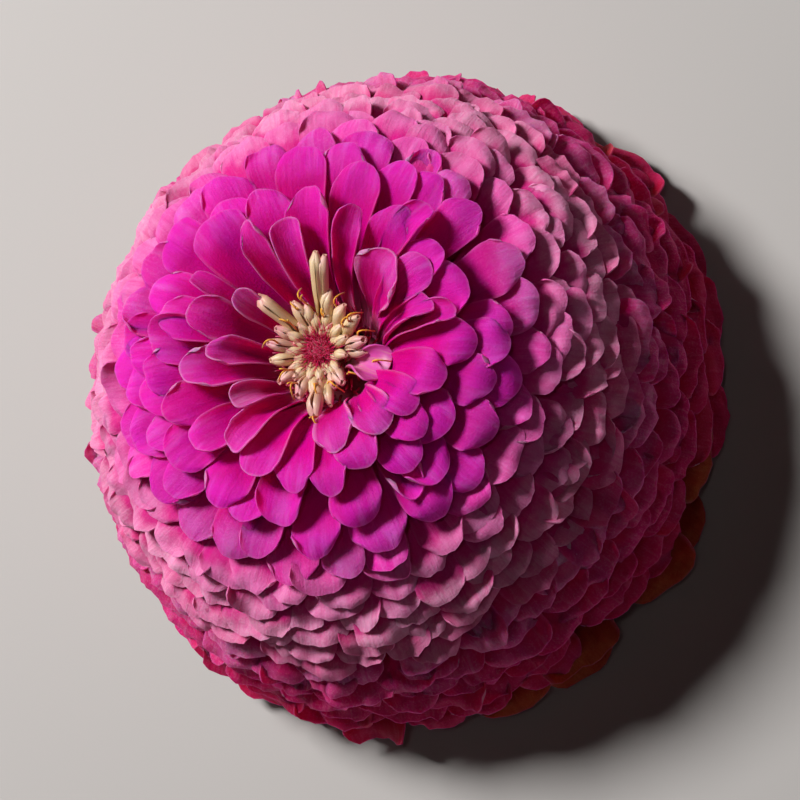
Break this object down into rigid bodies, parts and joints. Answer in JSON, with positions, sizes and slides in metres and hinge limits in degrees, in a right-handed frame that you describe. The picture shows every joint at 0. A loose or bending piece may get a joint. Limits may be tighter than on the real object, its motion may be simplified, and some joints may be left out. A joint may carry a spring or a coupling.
{
  "type": "zinnia flower head",
  "caption": "Picked double zinnia head on a short cut stem, lying face up: a dome of overlapping petals in magenta, pale pink and coral round a small disc.",
  "frame": {"origin": "middle of the stem's flat cut end, on the surface that the head rests on", "axes": "+Z along the flower's axis, up from the cut end of the stem to the disc; +X and +Y lie in the surface"},
  "size_m": [0.1138, 0.1142, 0.0586],
  "materials": {
    "petal_coral": "soft, velvety",
    "petal_pale": "soft, velvety",
    "petal_magenta": "soft, velvety",
    "floret_cream": "soft, slightly waxy",
    "disc_crimson": "fringed",
    "bract_green": "matt, faintly hairy"
  },
  "bodies": {
    "root": {"coralPetals": "petal_coral", "palePetals": "petal_pale", "magentaPetals": "petal_magenta", "youngFlorets": "floret_cream", "disc": "disc_crimson", "involucre": "bract_green"}
  },
  "joints": []
}
